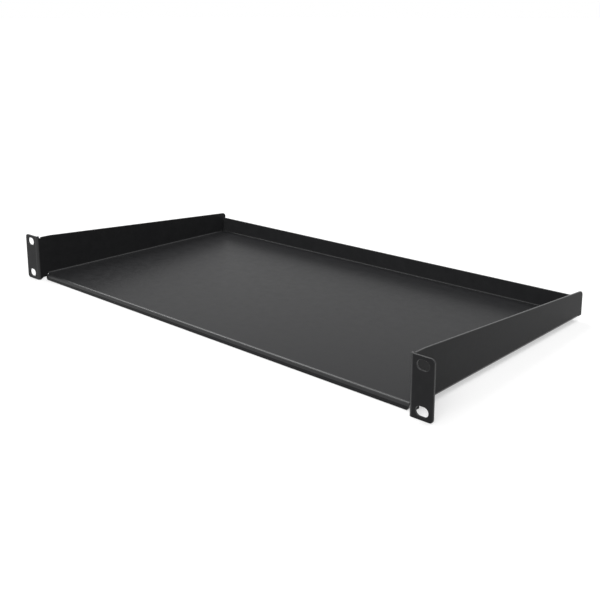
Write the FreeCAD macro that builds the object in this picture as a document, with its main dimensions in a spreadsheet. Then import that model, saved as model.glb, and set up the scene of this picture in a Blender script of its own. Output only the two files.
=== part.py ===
import FreeCAD, Part
import math
import os
import Sketcher

# Cantilever rack shelf, 1U, one folded steel sheet. Millimetres, +Z up, front towards -Y.
# The body is drawn from the ears' front faces (Y 0) and their bottom edges (Z 0), then placed so
# that the origin is the middle of the four rack slots on the ears' back faces.

SIZES = (
    ("sheet_thickness", "1.5", "steel sheet"),
    ("bend_radius", "1.0", "inside radius of every fold"),
    ("ear_height", "44.0", "one rack unit less clearance"),
    ("ear_corner", "3.0", "outer corner radius of an ear"),
    ("slot_pitch_across", "465.1", "between slot centres, left to right: 19 inch rack"),
    ("slot_pitch_up", "31.75", "between slot centres, bottom to top: one rack unit"),
    ("slot_to_end", "8.75", "slot centre to the ear's end: 482.6 over both ears"),
    ("slot_to_wall", "10.55", "slot centre to the wall's inner face: 444 between walls"),
    ("slot_length", "10.0", "overall, across"),
    ("slot_width", "7.0", "overall, up: clears an M6 screw"),
    ("tray_depth", "250.0", "ear front face to the walls' rear ends"),
    ("floor_underside", "4.0", "above the ears' bottom edges"),
    ("lip_setback", "6.0", "ear front face to the lip's front face"),
    ("lip_end_gap", "4.0", "lip end to wall"),
    ("lip_end_slope", "1.6", "chamfer at the lip's lower corner"),
    ("flange_top", "21.5", "rear flange's top above the ears' bottom edges"),
    ("flange_setback", "2.0", "walls' rear ends to the flange's rear face"),
    ("flange_end_gap", "1.0", "flange end to wall"),
    ("flange_corner", "3.0", "top corner radius of the flange"),
    ("strip_rise", "2.0", "lower edge of the wall's front strip above the ear's"),
    ("strip_slope", "3.0", "length of the slope up to it, behind the ear's fold"),
    ("strip_overlap", "2.1", "strip's rear edge behind the floor's front edge"),
    ("front_relief", "0.3", "slit between that strip and the floor fold"),
    ("rear_relief", "6.5", "length of wall clear of the floor fold, at the rear"),
    ("rear_slit", "0.6", "slit between the floor fold and the wall's tail"),
    ("tail_drop", "1.5", "wall's tail below the top of the floor fold"),
    ("wall_drop", "1.2", "from an ear's top down to the wall's top"),
    ("level_length", "16.0", "level part of a wall's top, from the ear front face"),
    ("wall_rear_height", "26.5", "wall's height at its rear end"),
    ("wall_corner", "4.0", "upper rear corner radius of a wall"),
    ("wall_toe", "0.8", "lower rear corner radius of a wall"),
    ("notch_radius", "1.0", "bend relief at the top of a wall, beside the ear"),
    ("notch_setback", "4.0", "ear front face to the notch's centre"),
)

document = FreeCAD.newDocument("CantileverRackShelf")
sizes = document.addObject("Spreadsheet::Sheet", "Sizes")
for row, (alias, number, note) in enumerate(SIZES, start=1):
    sizes.set(f"A{row}", alias)
    sizes.set(f"B{row}", number)
    sizes.set(f"C{row}", note)
    sizes.setAlias(f"B{row}", alias)
document.recompute()

# Lines of the sheet that several sketches share, as expressions on the sizes.
THICK = "Sizes.sheet_thickness"
INSIDE = "Sizes.bend_radius"
OUTSIDE = "(Sizes.bend_radius + Sizes.sheet_thickness)"
FLOOR_LOW = "Sizes.floor_underside"
FLOOR_HIGH = "(Sizes.floor_underside + Sizes.sheet_thickness)"
FOLD_TOP = f"({FLOOR_HIGH} + {INSIDE})"
FOLD_DROP = f"({FLOOR_LOW} - {INSIDE})"
SLOT_X = "(Sizes.slot_pitch_across / 2)"
WALL_IN = f"({SLOT_X} - Sizes.slot_to_wall)"
WALL_OUT = f"({WALL_IN} + {THICK})"
FLOOR_SIDE = f"({WALL_IN} - {INSIDE})"
FLOOR_FRONT = f"(Sizes.lip_setback + {OUTSIDE})"
STRIP_REAR = f"({FLOOR_FRONT} + Sizes.strip_overlap)"
FOLD_FRONT = f"({STRIP_REAR} + Sizes.front_relief)"
WALL_TOP = "(Sizes.ear_height - Sizes.wall_drop)"
FLANGE_BACK = "(Sizes.tray_depth - Sizes.flange_setback)"
FLOOR_REAR = f"({FLANGE_BACK} - {OUTSIDE})"
FOLD_REAR = "(Sizes.tray_depth - Sizes.rear_relief)"
TAIL_FRONT = f"({FOLD_REAR} + Sizes.rear_slit)"
TAIL_LOW = f"({FOLD_TOP} - Sizes.tail_drop)"
FLANGE_END = f"({WALL_IN} - Sizes.flange_end_gap)"
LIP_END = f"({WALL_IN} - Sizes.lip_end_gap)"
EAR_END = f"({SLOT_X} + Sizes.slot_to_end)"
SLOT_RADIUS = "(Sizes.slot_width / 2)"
SLOT_REACH = "((Sizes.slot_length - Sizes.slot_width) / 2)"
ZERO = "0"

shelf = document.addObject("PartDesign::Body", "ShelfTray")
shelf.Label = "shelf_tray"


def origin_plane(role):
    return next(item for item in shelf.Origin.OriginFeatures if item.Role == role)


def sketch_on(role, name, offset=None):
    """Sketch on one of the body's planes, moved along the plane's normal by an expression."""
    sketch = shelf.newObject("Sketcher::SketchObject", name)
    sketch.AttachmentSupport = (origin_plane(role), [""])
    sketch.MapMode = "FlatFace"
    if offset is not None:
        sketch.setExpression("AttachmentOffset.Base.z", offset)
    return sketch


def arc_between(start, end, radius, turn):
    """Short arc from start to end that turns left (1) or right (-1)."""
    chord = end - start
    half = chord.Length / 2
    rise = math.sqrt(max(radius * radius - half * half, 0.0))
    across = FreeCAD.Vector(-chord.y, chord.x, 0).normalize()
    centre = (start + end) * 0.5 + across * (turn * rise)
    circle = Part.Circle(centre, FreeCAD.Vector(0, 0, 1), radius)
    first, last = (start, end) if turn > 0 else (end, start)
    return Part.ArcOfCircle(circle, circle.parameter(first), circle.parameter(last))


def outline(sketch, corners):
    """Closed outline. A corner is (x, y), or (x, y, turn, radius) when an arc leaves it.

    An arc with no radius is a half circle. Every corner is held by level and upright lines, or by
    distances from the sketch's origin that follow the sizes.
    """
    def number(text):
        return float(sketch.evalExpression(f"({text}) * 1.0"))

    points = [FreeCAD.Vector(number(c[0]), number(c[1]), 0) for c in corners]
    count = len(corners)
    ends = []
    for i, corner in enumerate(corners):
        start, end = points[i], points[(i + 1) % count]
        if len(corner) == 2:
            geometry = sketch.addGeometry(Part.LineSegment(start, end), False)
            ends.append((geometry, 1, 2))
            continue
        turn, radius = corner[2], corner[3]
        reach = number(radius) if radius else (end - start).Length / 2
        geometry = sketch.addGeometry(arc_between(start, end, reach, turn), False)
        ends.append((geometry, 1, 2) if turn > 0 else (geometry, 2, 1))
    for i in range(count):
        leaving, arriving = ends[i], ends[(i + 1) % count]
        sketch.addConstraint(
            Sketcher.Constraint("Coincident", leaving[0], leaving[2], arriving[0], arriving[1]))
    for i, corner in enumerate(corners):
        geometry, first, last = ends[i]
        before = corners[i - 1] if i else (None, None, 1, None)
        straight = len(before) == 2
        for axis, place, same in ((0, "DistanceX", "Vertical"), (1, "DistanceY", "Horizontal")):
            if straight and corner[axis] == before[axis]:
                sketch.addConstraint(Sketcher.Constraint(same, ends[i - 1][0]))
            elif corner[axis] == ZERO:
                sketch.addConstraint(
                    Sketcher.Constraint("PointOnObject", geometry, first, -2 + axis))
            else:
                value = points[i][axis]
                index = sketch.addConstraint(
                    Sketcher.Constraint(place, -1, 1, geometry, first, value))
                sketch.setExpression(f"Constraints[{index}]", corner[axis])
        if len(corner) == 4 and corner[3]:
            index = sketch.addConstraint(
                Sketcher.Constraint("Radius", geometry, number(corner[3])))
            sketch.setExpression(f"Constraints[{index}]", corner[3])
        elif len(corner) == 4:
            upright = corner[0] == corners[(i + 1) % count][0]
            sketch.addConstraint(Sketcher.Constraint(
                "Vertical" if upright else "Horizontal", geometry, 3, geometry, first))


def pad(sketch, name, length, backwards=False):
    feature = shelf.newObject("PartDesign::Pad", name)
    feature.Profile = sketch
    feature.Reversed = backwards
    feature.setExpression("Length", length)
    feature.Refine = True
    document.recompute()
    return feature


def edges_of(feature, direction, spots):
    """Names of the straight edges along a direction that pass through the given spots."""
    names = []
    for spot in spots:
        near = [
            (edge.distToShape(Part.Vertex(spot))[0], index)
            for index, edge in enumerate(feature.Shape.Edges, start=1)
            if isinstance(edge.Curve, Part.Line)
            and abs(edge.Curve.Direction.dot(direction)) > 0.999
        ]
        distance, index = min(near)
        if distance > 0.01:
            raise ValueError(f"{feature.Name}: no edge at {spot}")
        names.append(f"Edge{index}")
    return names


def size(expression):
    return float(shelf.evalExpression(f"({expression}) * 1.0"))


ALONG_X = FreeCAD.Vector(1, 0, 0)
ALONG_Y = FreeCAD.Vector(0, 1, 0)

# Floor: the right half of the flat panel, from the lip's fold to the flange's fold. Its front
# corner is notched back to where the side fold starts, which leaves the strip room in the blank.
floor_sketch = sketch_on("XY_Plane", "FloorOutline", FLOOR_LOW)
outline(floor_sketch, [
    (ZERO, FLOOR_FRONT),
    (LIP_END, FLOOR_FRONT),
    (LIP_END, FOLD_FRONT),
    (FLOOR_SIDE, FOLD_FRONT),
    (FLOOR_SIDE, FLOOR_REAR),
    (ZERO, FLOOR_REAR),
])
pad(floor_sketch, "Floor", THICK)

# Side fold: quarter ring from the floor up to the wall, between the front and rear reliefs.
fold_sketch = sketch_on("XZ_Plane", "SideFoldSection", f"-{FOLD_FRONT}")
outline(fold_sketch, [
    (FLOOR_SIDE, FLOOR_LOW, 1, OUTSIDE),
    (WALL_OUT, FOLD_TOP),
    (WALL_IN, FOLD_TOP, -1, INSIDE),
    (FLOOR_SIDE, FLOOR_HIGH),
])
pad(fold_sketch, "SideFold", f"{FOLD_REAR} - {FOLD_FRONT}", backwards=True)

# Side wall: level beside the ear, then a straight taper to the rear. A strip at the front and a
# tail at the rear reach below the top of the floor fold, each parted from it by a round-topped
# slit. The strip clears the lip and the floor in the flat blank, so the sheet unfolds.
wall_sketch = sketch_on("YZ_Plane", "WallOutline", WALL_IN)
outline(wall_sketch, [
    (OUTSIDE, ZERO),
    (f"({OUTSIDE} + Sizes.strip_slope)", "Sizes.strip_rise"),
    (STRIP_REAR, "Sizes.strip_rise"),
    (STRIP_REAR, FOLD_TOP, -1, None),
    (FOLD_FRONT, FOLD_TOP),
    (FOLD_REAR, FOLD_TOP, -1, None),
    (TAIL_FRONT, FOLD_TOP),
    (TAIL_FRONT, TAIL_LOW),
    ("Sizes.tray_depth", TAIL_LOW),
    ("Sizes.tray_depth", "Sizes.wall_rear_height"),
    ("Sizes.level_length", WALL_TOP),
    ("(Sizes.notch_setback + Sizes.notch_radius)", WALL_TOP, -1, None),
    ("(Sizes.notch_setback - Sizes.notch_radius)", WALL_TOP),
    ("(Sizes.notch_setback - Sizes.notch_radius)", "Sizes.ear_height"),
    (OUTSIDE, "Sizes.ear_height"),
])
pad(wall_sketch, "Wall", THICK)

# Rack ear: folded outward from the wall's front edge.
ear_sketch = sketch_on("XY_Plane", "EarSection")
outline(ear_sketch, [
    (WALL_IN, OUTSIDE, 1, OUTSIDE),
    (f"({WALL_IN} + {OUTSIDE})", ZERO),
    (EAR_END, ZERO),
    (EAR_END, THICK),
    (f"({WALL_IN} + {OUTSIDE})", THICK, -1, INSIDE),
    (WALL_OUT, OUTSIDE),
])
pad(ear_sketch, "Ear", "Sizes.ear_height")

# Front lip: folded down, its lower edge level with the ears' bottom edges.
lip_sketch = sketch_on("YZ_Plane", "LipSection")
outline(lip_sketch, [
    ("Sizes.lip_setback", ZERO),
    (f"(Sizes.lip_setback + {THICK})", ZERO),
    (f"(Sizes.lip_setback + {THICK})", FOLD_DROP, -1, INSIDE),
    (FLOOR_FRONT, FLOOR_LOW),
    (FLOOR_FRONT, FLOOR_HIGH, 1, OUTSIDE),
    ("Sizes.lip_setback", FOLD_DROP),
])
pad(lip_sketch, "Lip", LIP_END)

# Rear flange: folded up behind the floor, lower than the walls' rear ends.
flange_sketch = sketch_on("YZ_Plane", "FlangeSection")
outline(flange_sketch, [
    (FLOOR_REAR, FLOOR_LOW, 1, OUTSIDE),
    (FLANGE_BACK, FOLD_TOP),
    (FLANGE_BACK, "Sizes.flange_top"),
    (f"({FLANGE_BACK} - {THICK})", "Sizes.flange_top"),
    (f"({FLANGE_BACK} - {THICK})", FOLD_TOP, -1, INSIDE),
    (FLOOR_REAR, FLOOR_HIGH),
])
flange = pad(flange_sketch, "Flange", FLANGE_END)

# Rack slots: two through the ear, rounded ends, lying across.
slot_sketch = sketch_on("XZ_Plane", "SlotOutlines")
for side in ("-", "+"):
    height = f"(Sizes.ear_height / 2 {side} Sizes.slot_pitch_up / 2)"
    low = f"({height} - {SLOT_RADIUS})"
    high = f"({height} + {SLOT_RADIUS})"
    outline(slot_sketch, [
        (f"({SLOT_X} - {SLOT_REACH})", low),
        (f"({SLOT_X} + {SLOT_REACH})", low, 1, None),
        (f"({SLOT_X} + {SLOT_REACH})", high),
        (f"({SLOT_X} - {SLOT_REACH})", high, 1, None),
    ])
slots = shelf.newObject("PartDesign::Pocket", "RackSlots")
slots.Profile = slot_sketch
slots.setExpression("Length", THICK)
slots.Refine = True
document.recompute()

# Rounded corners of the blank.
ear_corners = shelf.newObject("PartDesign::Fillet", "EarCorners")
ear_corners.Base = (slots, edges_of(slots, ALONG_Y, [
    FreeCAD.Vector(size(EAR_END), size(THICK) / 2, 0),
    FreeCAD.Vector(size(EAR_END), size(THICK) / 2, size("Sizes.ear_height")),
]))
ear_corners.setExpression("Radius", "Sizes.ear_corner")
document.recompute()

wall_middle = size(WALL_IN) + size(THICK) / 2
wall_corner = shelf.newObject("PartDesign::Fillet", "WallRearCorner")
wall_corner.Base = (ear_corners, edges_of(ear_corners, ALONG_X, [
    FreeCAD.Vector(wall_middle, size("Sizes.tray_depth"), size("Sizes.wall_rear_height")),
]))
wall_corner.setExpression("Radius", "Sizes.wall_corner")
document.recompute()

wall_toe = shelf.newObject("PartDesign::Fillet", "WallToe")
wall_toe.Base = (wall_corner, edges_of(wall_corner, ALONG_X, [
    FreeCAD.Vector(wall_middle, size("Sizes.tray_depth"), size(TAIL_LOW)),
]))
wall_toe.setExpression("Radius", "Sizes.wall_toe")
document.recompute()

flange_corner = shelf.newObject("PartDesign::Fillet", "FlangeCorner")
flange_corner.Base = (wall_toe, edges_of(wall_toe, ALONG_Y, [
    FreeCAD.Vector(size(FLANGE_END), size(FLANGE_BACK) - size(THICK) / 2, size("Sizes.flange_top")),
]))
flange_corner.setExpression("Radius", "Sizes.flange_corner")
document.recompute()

lip_corner = shelf.newObject("PartDesign::Chamfer", "LipCorner")
lip_corner.Base = (flange_corner, edges_of(flange_corner, ALONG_Y, [
    FreeCAD.Vector(size(LIP_END), size("Sizes.lip_setback") + size(THICK) / 2, 0),
]))
lip_corner.setExpression("Size", "Sizes.lip_end_slope")
document.recompute()

# The left half is the right half's mirror image.
both_halves = shelf.newObject("PartDesign::Mirrored", "BothHalves")
both_halves.TransformMode = "Whole shape"
both_halves.MirrorPlane = (origin_plane("YZ_Plane"), [""])
both_halves.Refine = True
shelf.Tip = both_halves
shelf.setExpression("Placement.Base.y", f"-{THICK}")
shelf.setExpression("Placement.Base.z", "-Sizes.ear_height / 2")
document.recompute()

for item in document.Objects:
    if "Invalid" in item.State or "Error" in item.State:
        raise RuntimeError(f"{item.Name}: {item.State}")
    shape = getattr(item, "Shape", None)
    if shape is not None and item.isDerivedFrom("PartDesign::Feature"):
        if shape.isNull() or not shape.isValid():
            raise RuntimeError(f"{item.Name}: bad shape")
    if item.isDerivedFrom("Sketcher::SketchObject") and not item.FullyConstrained:
        raise RuntimeError(f"{item.Name}: loose sketch")
if not slots.Shape.Volume < flange.Shape.Volume:
    raise RuntimeError("RackSlots cut nothing")
if len(shelf.Shape.Solids) != 1:
    raise RuntimeError("the shelf is not one solid")

os.makedirs("parts", exist_ok=True)
shelf.Shape.exportStep("parts/shelf_tray.step")
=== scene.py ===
from math import pi, radians, tan

import bmesh
import bpy
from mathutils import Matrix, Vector


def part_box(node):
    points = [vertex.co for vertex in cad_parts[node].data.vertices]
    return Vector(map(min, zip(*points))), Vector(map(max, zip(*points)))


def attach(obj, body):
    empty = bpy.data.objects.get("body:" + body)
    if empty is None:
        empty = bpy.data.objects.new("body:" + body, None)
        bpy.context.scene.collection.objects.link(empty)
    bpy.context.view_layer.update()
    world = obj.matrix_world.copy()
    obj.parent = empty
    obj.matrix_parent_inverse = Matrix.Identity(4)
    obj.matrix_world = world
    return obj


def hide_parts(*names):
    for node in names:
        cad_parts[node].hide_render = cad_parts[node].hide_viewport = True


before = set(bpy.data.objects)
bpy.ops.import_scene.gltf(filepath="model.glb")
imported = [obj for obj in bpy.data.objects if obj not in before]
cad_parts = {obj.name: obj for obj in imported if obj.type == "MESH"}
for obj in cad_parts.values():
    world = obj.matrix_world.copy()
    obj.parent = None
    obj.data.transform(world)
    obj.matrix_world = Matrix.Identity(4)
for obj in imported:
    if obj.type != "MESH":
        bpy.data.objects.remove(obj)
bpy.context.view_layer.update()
mm = 0.001

# the folded sheet: sizes in millimetres, from the ears' front faces and bottom edges
trayLow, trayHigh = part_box("shelf_tray")

sheet = {
    "thickness": 1.5,
    "insideBend": 1.0,
    "outsideBend": 2.5,        # inside bend and thickness together
    "earEnd": trayHigh.x / mm,
    "earHeight": (trayHigh.z - trayLow.z) / mm,
    "depth": (trayHigh.y - trayLow.y) / mm,
    "earCorner": 3.0,
    "slotX": 465.1 / 2,
    "slotRise": 31.75 / 2,
    "slotReach": 1.5,          # slot centre to the middle of its round end
    "slotRadius": 3.5,
    "wallX": 222.0,            # inner face of a side wall
    "floorTop": 5.5,
    "lipFront": 6.0,
    "lipEnd": 218.0,
    "lipSlope": 1.6,
    "flangeFront": 246.5,
    "flangeEnd": 221.0,
    "flangeTop": 21.5,
    "flangeCorner": 3.0,
    "stripRise": 2.0,          # the wall's front strip, above the ear's bottom
    "stripFoot": 5.5,
    "stripRear": 10.6,
    "foldFront": 10.9,
    "foldRear": 243.5,
    "tailFront": 244.1,
    "tailLow": 5.0,
    "wallDrop": 1.2,
    "levelRear": 16.0,
    "rearHeight": 26.5,
    "rearCorner": 4.0,
    "rearToe": 0.8,
    "notchY": 4.0,
    "notchRadius": 1.0,
    "foldSteps": 10,
    "cornerSteps": 8,
    "weldReach": 0.01,         # joins the flat outlines and the folds
    "seamReach": 0.001,        # joins the two mirrored halves
    "coatEdge": 0.28,          # the coat rounds the cut edges
    "coatSteps": 3,
    "coatAngle": 50,           # edges sharper than this, in degrees, are rounded
    "flatWeight": 100,         # how strongly large faces keep their shading flat
}


def walkOutline(bm, place, steps):
    # a pen walks round a flat outline, then the outline is filled
    # a step is (u, v), or ((u, v), angle, count) for an arc about that centre
    chain = [bmesh.ops.create_vert(bm, co=place(*steps[0]))["vert"][0]]
    for step in steps[1:]:
        if len(step) == 2:
            tip = bmesh.ops.extrude_vert_indiv(bm, verts=[chain[-1]])["verts"][0]
            tip.co = place(*step)
            chain.append(tip)
            continue
        (u, v), angle, count = step
        middle = place(u, v)
        axis = (place(u + 1, v) - middle).cross(place(u, v + 1) - middle)
        known = set(bm.verts)
        bmesh.ops.spin(bm, geom=[chain[-1]], cent=middle, axis=axis, angle=angle, steps=count)
        fresh = set(bm.verts) - known
        while fresh:
            tip = next(e.other_vert(chain[-1]) for e in chain[-1].link_edges
                       if e.other_vert(chain[-1]) in fresh)
            fresh.discard(tip)
            chain.append(tip)
    rim = bmesh.ops.contextual_create(bm, geom=[chain[-1], chain[0]])["edges"]
    rim += [e for v in chain for e in v.link_edges if e not in rim]
    # each edge once, in drawing order, so that every run fills alike
    bmesh.ops.edgeloop_fill(bm, edges=list(dict.fromkeys(rim)))


def roundCorner(bm, point, radius, steps):
    # rounds one corner of a flat outline
    corner = min(bm.verts, key=lambda v: (v.co - Vector(point)).length)
    ways = [(e.other_vert(corner).co - corner.co) for e in corner.link_edges]
    opening = ways[0].angle(ways[1])
    bmesh.ops.bevel(bm, geom=[corner], offset=radius / tan(opening / 2), offset_type="OFFSET",
                    affect="VERTICES", segments=steps, profile=0.5, material=-1)


def foldEdge(bm, start, end, centre, axis, angle, count):
    # a straight edge swung about the fold's centre line
    flat = set(bm.faces)
    ends = [bmesh.ops.create_vert(bm, co=point)["vert"][0] for point in (start, end)]
    edge = bmesh.ops.contextual_create(bm, geom=ends)["edges"]
    bmesh.ops.spin(bm, geom=ends + edge, cent=centre, axis=axis, angle=angle, steps=count)
    for face in set(bm.faces) - flat:
        face.material_index = 1


def foldHalf(bm, s):
    # right half of one face of the sheet: the floor's top and what runs on from it
    top, inside, outside = s["floorTop"], s["insideBend"], s["outsideBend"]
    n, rounding = s["foldSteps"], s["cornerSteps"]
    wallX, lipFront, flangeFront = s["wallX"], s["lipFront"], s["flangeFront"]
    floorSide, floorFront, floorRear = wallX - inside, lipFront + outside, flangeFront - inside
    foldTop, lipTop, earIn = top + inside, top - outside, wallX + outside
    height, depth, wallTop = s["earHeight"], s["depth"], s["earHeight"] - s["wallDrop"]
    foldFront, foldRear, tailFront = s["foldFront"], s["foldRear"], s["tailFront"]

    # floor
    walkOutline(bm, lambda x, y: Vector((x, y, top)), [
        (0, floorFront), (s["lipEnd"], floorFront), (s["lipEnd"], foldFront),
        (floorSide, foldFront), (floorSide, foldRear), (floorSide, floorRear),
        (0, floorRear)])

    # side fold and wall
    foldEdge(bm, (floorSide, foldFront, top), (floorSide, foldRear, top),
             (floorSide, 0, foldTop), (0, 1, 0), -pi / 2, n)
    stripRear, notchY, notch = s["stripRear"], s["notchY"], s["notchRadius"]
    walkOutline(bm, lambda y, z: Vector((wallX, y, z)), [
        (outside, 0), (s["stripFoot"], s["stripRise"]), (stripRear, s["stripRise"]),
        (stripRear, foldTop), (((stripRear + foldFront) / 2, foldTop), -pi, n),
        (foldRear, foldTop), (((foldRear + tailFront) / 2, foldTop), -pi, n),
        (tailFront, s["tailLow"]), (depth, s["tailLow"]), (depth, s["rearHeight"]),
        (s["levelRear"], wallTop), (notchY + notch, wallTop),
        ((notchY, wallTop), -pi, n), (notchY - notch, height), (outside, height)])
    roundCorner(bm, (wallX, depth, s["tailLow"]), s["rearToe"], rounding)
    roundCorner(bm, (wallX, depth, s["rearHeight"]), s["rearCorner"], rounding)

    # ear, folded outward, in two parts that meet along the slots' middle line
    foldEdge(bm, (wallX, outside, 0), (wallX, outside, height),
             (earIn, outside, 0), (0, 0, 1), pi / 2, n)
    slotX, radius, end = s["slotX"], s["slotRadius"], s["earEnd"]
    for edgeX, side in ((earIn, -1), (end, 1)):
        steps = [(edgeX, 0), (slotX, 0)]
        for middle in (height / 2 - s["slotRise"], height / 2 + s["slotRise"]):
            slotEnd = slotX + side * s["slotReach"]
            steps += [(slotX, middle - radius), (slotEnd, middle - radius),
                      ((slotEnd, middle), side * pi, 2 * n), (slotX, middle + radius)]
        steps += [(slotX, height), (edgeX, height)]
        walkOutline(bm, lambda x, z: Vector((x, 0, z)), steps)
    roundCorner(bm, (end, 0, 0), s["earCorner"], rounding)
    roundCorner(bm, (end, 0, height), s["earCorner"], rounding)

    # front lip, folded down
    foldEdge(bm, (0, floorFront, top), (s["lipEnd"], floorFront, top),
             (0, floorFront, lipTop), (1, 0, 0), pi / 2, n)
    walkOutline(bm, lambda x, z: Vector((x, lipFront, z)), [
        (0, lipTop), (s["lipEnd"], lipTop), (s["lipEnd"], s["lipSlope"]),
        (s["lipEnd"] - s["lipSlope"], 0), (0, 0)])

    # rear flange, folded up
    foldEdge(bm, (0, floorRear, top), (s["flangeEnd"], floorRear, top),
             (0, floorRear, foldTop), (1, 0, 0), pi / 2, n)
    walkOutline(bm, lambda x, z: Vector((x, flangeFront, z)), [
        (0, foldTop), (s["flangeEnd"], foldTop), (s["flangeEnd"], s["flangeTop"]),
        (0, s["flangeTop"])])
    roundCorner(bm, (s["flangeEnd"], flangeFront, s["flangeTop"]), s["flangeCorner"], rounding)


def mirrorHalf(bm, s):
    bmesh.ops.remove_doubles(bm, verts=bm.verts, dist=s["weldReach"])
    bmesh.ops.mirror(bm, geom=bm.verts[:] + bm.edges[:] + bm.faces[:],
                     merge_dist=s["seamReach"], axis="X")
    bmesh.ops.remove_doubles(bm, verts=bm.verts, dist=s["seamReach"])
    bmesh.ops.recalc_face_normals(bm, faces=bm.faces)
    floorFace = max(bm.faces, key=lambda face: face.calc_area())
    if floorFace.normal.z < 0:
        bmesh.ops.reverse_faces(bm, faces=bm.faces)
    bmesh.ops.translate(bm, verts=bm.verts, vec=(0, trayLow.y / mm, trayLow.z / mm))
    bmesh.ops.scale(bm, verts=bm.verts, vec=(mm, mm, mm))
    for face in bm.faces:
        face.smooth = True


def thickenSheet(piece, s):
    steel = piece.modifiers.new("steel", "SOLIDIFY")
    steel.thickness = s["thickness"] * mm
    steel.offset = -1
    steel.use_even_offset = True
    steel.use_quality_normals = True
    steel.material_offset_rim = 1
    coat = piece.modifiers.new("coatEdges", "BEVEL")
    coat.width = s["coatEdge"] * mm
    coat.segments = s["coatSteps"]
    coat.limit_method = "ANGLE"
    coat.angle_limit = radians(s["coatAngle"])
    coat.use_clamp_overlap = False
    coat.material = 1
    flat = piece.modifiers.new("flatFaces", "WEIGHTED_NORMAL")
    flat.mode = "FACE_AREA"
    flat.weight = s["flatWeight"]


def buildSheet(s):
    bm = bmesh.new()
    foldHalf(bm, s)
    mirrorHalf(bm, s)
    mesh = bpy.data.meshes.new("shelfSheet")
    bm.to_mesh(mesh)
    bm.free()
    piece = bpy.data.objects.new("shelfSheet", mesh)
    bpy.context.scene.collection.objects.link(piece)
    thickenSheet(piece, s)
    return piece


shelf = buildSheet(sheet)
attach(shelf, "root")
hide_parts("shelf_tray")
print("sheet folded")

# the powder coat: one colour, drifting a little, over a fine grain
coatLook = {
    "dark": (0.0155, 0.0157, 0.0164),
    "light": (0.0245, 0.0247, 0.0258),
    "roughness": (0.28, 0.36),
    "specular": 0.055,         # flat faces
    "edgeSpecular": 0.30,      # folds and cut edges, which show as lighter lines
    "grain": 900.0,            # noise scales, per metre
    "cloud": 120.0,
    "grainDetail": 3.0,
    "cloudDetail": 4.0,
    "noiseRoughness": 0.6,
    "cloudRange": (0.3, 0.7),  # part of the cloud noise that moves the roughness
    "bumpStrength": 0.18,
    "bumpDistance": 0.0002,
}


def addNode(tree, kind, **values):
    node = tree.nodes.new(kind)
    for name, value in values.items():
        if name in node.inputs:
            node.inputs[name].default_value = value
        else:
            setattr(node, name, value)
    return node


def makePowderCoat(look, name, specular):
    material = bpy.data.materials.new(name)
    material.use_nodes = True
    tree = material.node_tree
    tree.nodes.clear()
    link = tree.links.new
    output = addNode(tree, "ShaderNodeOutputMaterial")
    paint = addNode(tree, "ShaderNodeBsdfPrincipled")
    paint.inputs["Specular IOR Level"].default_value = specular
    where = addNode(tree, "ShaderNodeTexCoord")
    cloud = addNode(tree, "ShaderNodeTexNoise", Scale=look["cloud"],
                    Detail=look["cloudDetail"], Roughness=look["noiseRoughness"])
    grain = addNode(tree, "ShaderNodeTexNoise", Scale=look["grain"],
                    Detail=look["grainDetail"], Roughness=look["noiseRoughness"])
    for noise in (cloud, grain):
        link(where.outputs["Object"], noise.inputs["Vector"])
    # a colour mix keeps its factor in input 0, its colours in 6 and 7, its result in output 2
    tint = addNode(tree, "ShaderNodeMix", data_type="RGBA")
    tint.inputs[6].default_value = (*look["dark"], 1)
    tint.inputs[7].default_value = (*look["light"], 1)
    link(cloud.outputs["Fac"], tint.inputs[0])
    link(tint.outputs[2], paint.inputs["Base Color"])
    rough = addNode(tree, "ShaderNodeMapRange")
    for side, values in (("From", look["cloudRange"]), ("To", look["roughness"])):
        rough.inputs[side + " Min"].default_value = values[0]
        rough.inputs[side + " Max"].default_value = values[1]
    link(cloud.outputs["Fac"], rough.inputs["Value"])
    link(rough.outputs["Result"], paint.inputs["Roughness"])
    bump = addNode(tree, "ShaderNodeBump", Strength=look["bumpStrength"],
                   Distance=look["bumpDistance"])
    link(grain.outputs["Fac"], bump.inputs["Height"])
    link(bump.outputs["Normal"], paint.inputs["Normal"])
    link(paint.outputs["BSDF"], output.inputs["Surface"])
    return material


# slot 0 is for the flat faces, slot 1 for the folds and cut edges
for name, level in (("powderCoat", "specular"), ("powderCoatEdge", "edgeSpecular")):
    shelf.data.materials.append(makePowderCoat(coatLook, name, coatLook[level]))
print("coat sprayed")

# a wide floor, a white backdrop and three soft suns
studio = {
    "floorReach": 60.0,
    "floorColour": 0.20,
    "floorSeen": 0.55,         # colour and glow of the floor as the camera sees it
    "floorGlow": 0.50,
    "worldLight": 0.35,
    "backdrop": 1.0,
    "lamps": {                 # direction from the shelf, spread in degrees, strength
        "sideLamp": ((-0.62, 0.15, 0.77), 30, 1.3),
        "topLamp": ((0.2, 0.35, 0.92), 30, 0.7),
        "frontLamp": ((0.5, -1.4, 1.0), 40, 2.1),
    },
}


def seenRays(tree):
    # 1 for rays that show the background: seen straight, in gloss or through glass
    rays = addNode(tree, "ShaderNodeLightPath")
    mirror = addNode(tree, "ShaderNodeMath", operation="MAXIMUM")
    either = addNode(tree, "ShaderNodeMath", operation="MAXIMUM")
    tree.links.new(rays.outputs["Is Glossy Ray"], mirror.inputs[0])
    tree.links.new(rays.outputs["Is Transmission Ray"], mirror.inputs[1])
    tree.links.new(rays.outputs["Is Camera Ray"], either.inputs[0])
    tree.links.new(mirror.outputs[0], either.inputs[1])
    return either.outputs[0]


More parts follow.
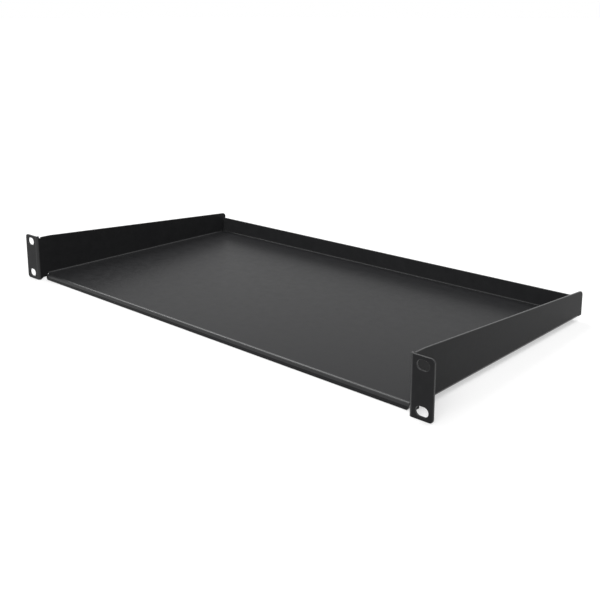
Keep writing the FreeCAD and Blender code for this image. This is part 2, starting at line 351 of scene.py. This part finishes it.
def makeFloor(s, height):
    bm = bmesh.new()
    bmesh.ops.create_grid(bm, x_segments=1, y_segments=1, size=s["floorReach"])
    bmesh.ops.translate(bm, verts=bm.verts, vec=(0, 0, height))
    mesh = bpy.data.meshes.new("studioFloor")
    bm.to_mesh(mesh)
    bm.free()
    floor = bpy.data.objects.new("studioFloor", mesh)
    bpy.context.scene.collection.objects.link(floor)
    material = bpy.data.materials.new("paleFloor")
    material.use_nodes = True
    tree = material.node_tree
    tree.nodes.clear()
    link = tree.links.new
    output = addNode(tree, "ShaderNodeOutputMaterial")
    plain = addNode(tree, "ShaderNodeBsdfDiffuse", Color=(s["floorColour"],) * 3 + (1,))
    white = addNode(tree, "ShaderNodeBsdfDiffuse", Color=(s["floorSeen"],) * 3 + (1,))
    glow = addNode(tree, "ShaderNodeEmission", Strength=s["floorGlow"])
    bright = addNode(tree, "ShaderNodeAddShader")
    blend = addNode(tree, "ShaderNodeMixShader")
    link(white.outputs[0], bright.inputs[0])
    link(glow.outputs[0], bright.inputs[1])
    link(seenRays(tree), blend.inputs[0])
    link(plain.outputs[0], blend.inputs[1])
    link(bright.outputs[0], blend.inputs[2])
    link(blend.outputs[0], output.inputs["Surface"])
    mesh.materials.append(material)
    return floor


makeFloor(studio, trayLow.z)


def lightWorld(s):
    world = bpy.data.worlds.new("studioWorld")
    bpy.context.scene.world = world
    world.use_nodes = True
    tree = world.node_tree
    tree.nodes.clear()
    link = tree.links.new
    output = addNode(tree, "ShaderNodeOutputWorld")
    soft = addNode(tree, "ShaderNodeBackground", Color=(1, 1, 1, 1), Strength=s["worldLight"])
    seen = addNode(tree, "ShaderNodeBackground", Color=(1, 1, 1, 1), Strength=s["backdrop"])
    blend = addNode(tree, "ShaderNodeMixShader")
    link(seenRays(tree), blend.inputs[0])
    link(soft.outputs[0], blend.inputs[1])
    link(seen.outputs[0], blend.inputs[2])
    link(blend.outputs[0], output.inputs["Surface"])


lightWorld(studio)


def hangLamps(lamps):
    for name, (direction, spread, strength) in lamps.items():
        data = bpy.data.lights.new(name, "SUN")
        data.energy = strength
        data.angle = radians(spread)
        lamp = bpy.data.objects.new(name, data)
        bpy.context.scene.collection.objects.link(lamp)
        lamp.location = direction
        lamp.rotation_euler = Vector(direction).to_track_quat("Z", "Y").to_euler()


hangLamps(studio["lamps"])

camera = {
    "place": (0.5271, -0.4387, 0.2325),
    "turn": 42.49,
    "tip": -12.50,
    "lens": 52.6,
    "shift": -0.15,            # keeps the upright edges nearly upright
    "sensor": 36,
    "clip": (0.01, 200),
}


def placeCamera(c):
    data = bpy.data.cameras.new("studioCamera")
    data.sensor_width = c["sensor"]
    data.lens = c["lens"]
    data.shift_y = c["shift"]
    data.clip_start, data.clip_end = c["clip"]
    seat = bpy.data.objects.new("studioCamera", data)
    seat.location = c["place"]
    seat.rotation_euler = (radians(90 + c["tip"]), 0, radians(c["turn"]))
    bpy.context.scene.collection.objects.link(seat)
    bpy.context.scene.camera = seat


placeCamera(camera)
bpy.context.scene.view_settings.view_transform = "Standard"
print("stage set")
